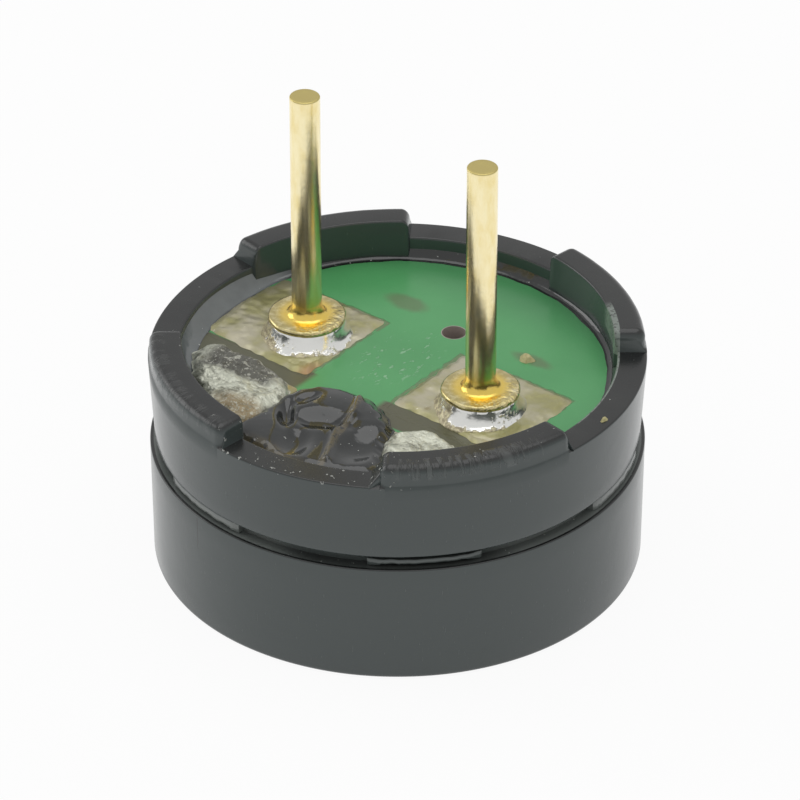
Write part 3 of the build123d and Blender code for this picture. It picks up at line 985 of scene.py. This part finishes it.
# ---------------------------------------------------------------------------------------------
# Crumbs: two grains of flux that broke off after soldering. One is stuck in the board's coat and
# one lies on the ring's rim.
# ---------------------------------------------------------------------------------------------


def crumb_finish():
    """Dried flux resin, yellowish."""
    material, place = new_finish("dried_flux", IOR=1.5)
    grain = place.cloud(0.05, 4.0)
    base = grain.paint(colour(168, 158, 100), colour(214, 208, 160))
    return finish_with(material, place, base, 0.4 + grain * 0.2, heights=[(grain, 0.02)])


dried_flux = crumb_finish()
for name, middle, wide, deep, ground in (("flux_crumb", (1.6, 1.74), 0.15, 0.13, board_top),
                                         ("rim_crumb", (4.29, 0.47), 0.05, 0.09, rim_z)):
    outline = [(middle[0] + wide * math.cos(t) * (1 + 0.2 * math.sin(3 * t)),
                middle[1] + deep * math.sin(t)) for t in (math.radians(15 * k) for k in range(24))]
    crumb = patch(name, outline, middle,
                  lambda x, y, share: ground + deep * 0.7 * smoothstep(share, -0.1, 0.7)
                  + 0.02 * noise.noise((x * 12, y * 12, 2.0)),
                  10, dried_flux, ground - 0.01)
    placed(crumb, "resin")

# ---------------------------------------------------------------------------------------------
# Studio: a white table that runs up to the horizon, one broad light overhead, a weaker one from
# the left, and a long lens looking down at the pins.
# ---------------------------------------------------------------------------------------------
table_size = 0.6


def table_finish():
    """White card that reads as plain white and keeps a soft shadow."""
    material = bpy.data.materials.new("white_card")
    material.use_nodes = True
    tree = material.node_tree
    card = tree.nodes["Principled BSDF"]
    card.inputs["Base Color"].default_value = (0.93, 0.93, 0.93, 1)
    card.inputs["Roughness"].default_value = 0.9
    light_path = tree.nodes.new("ShaderNodeLightPath")
    seen, mirrored = (Tone(tree, light_path.outputs[name])
                      for name in ("Is Camera Ray", "Is Glossy Ray"))
    glow = seen.node("ShaderNodeEmission", {}, {"Strength": 1.0})
    mixed = seen.node("ShaderNodeMixShader", {}, {0: seen * 0.93 + mirrored * 0.9,
                                                  1: Tone(tree, card.outputs[0]), 2: glow})
    tree.links.new(mixed.socket, tree.nodes["Material Output"].inputs["Surface"])
    return material


half = table_size / 2
table_gap = 0.00001
table_mesh = bpy.data.meshes.new("table")
table_corners = [(x * half, y * half, -table_gap) for x, y in ((-1, -1), (1, -1), (1, 1), (-1, 1))]
table_mesh.from_pydata(table_corners, [], [(0, 1, 2, 3)])
table = bpy.data.objects.new("table", table_mesh)
bpy.context.collection.objects.link(table)
table_mesh.materials.append(table_finish())

world = bpy.data.worlds.new("white_room")
bpy.context.scene.world = world
world.use_nodes = True
room = world.node_tree.nodes["Background"]
path = world.node_tree.nodes.new("ShaderNodeLightPath")
seen = Tone(world.node_tree, path.outputs["Is Camera Ray"])
mirrored = Tone(world.node_tree, path.outputs["Is Glossy Ray"])
room.inputs["Color"].default_value = (1, 1, 1, 1)
strength = 0.5 + seen * 0.5 + mirrored * 0.15
world.node_tree.links.new(strength.socket, room.inputs["Strength"])


def soft_light(name, place, size, brightness):
    """A square light that faces the part, with the brightness of its own face."""
    lamp = bpy.data.lights.new(name, "AREA")
    lamp.size = size
    lamp.energy = brightness * math.pi * size ** 2
    holder = bpy.data.objects.new(name, lamp)
    holder.location = place
    aim = Vector((0, 0, 0.004)) - Vector(place)
    holder.rotation_euler = aim.to_track_quat("-Z", "Y").to_euler()
    bpy.context.collection.objects.link(holder)


soft_light("overhead", (0.0, 0.01, 0.16), 0.155, 1.05)
soft_light("left_window", (-0.14, -0.04, 0.07), 0.09, 1.6)

lens_direction = (math.radians(38.6), math.radians(34.08))
lens_distance = 0.10395
lens_aim = Vector((0.000035, 0.000028, 0.003015))
turned_by, raised_by = lens_direction
lens_place = lens_distance * Vector((math.sin(turned_by) * math.cos(raised_by),
                                     -math.cos(turned_by) * math.cos(raised_by),
                                     math.sin(raised_by)))
camera = bpy.data.cameras.new("long_lens")
camera.lens = 254.2
camera.clip_start, camera.clip_end = 0.005, 5.0
stand = bpy.data.objects.new("long_lens", camera)
stand.location = lens_place
stand.rotation_euler = (lens_aim - lens_place).to_track_quat("-Z", "Y").to_euler()
bpy.context.collection.objects.link(stand)
bpy.context.scene.camera = stand
bpy.context.scene.view_settings.view_transform = "Standard"
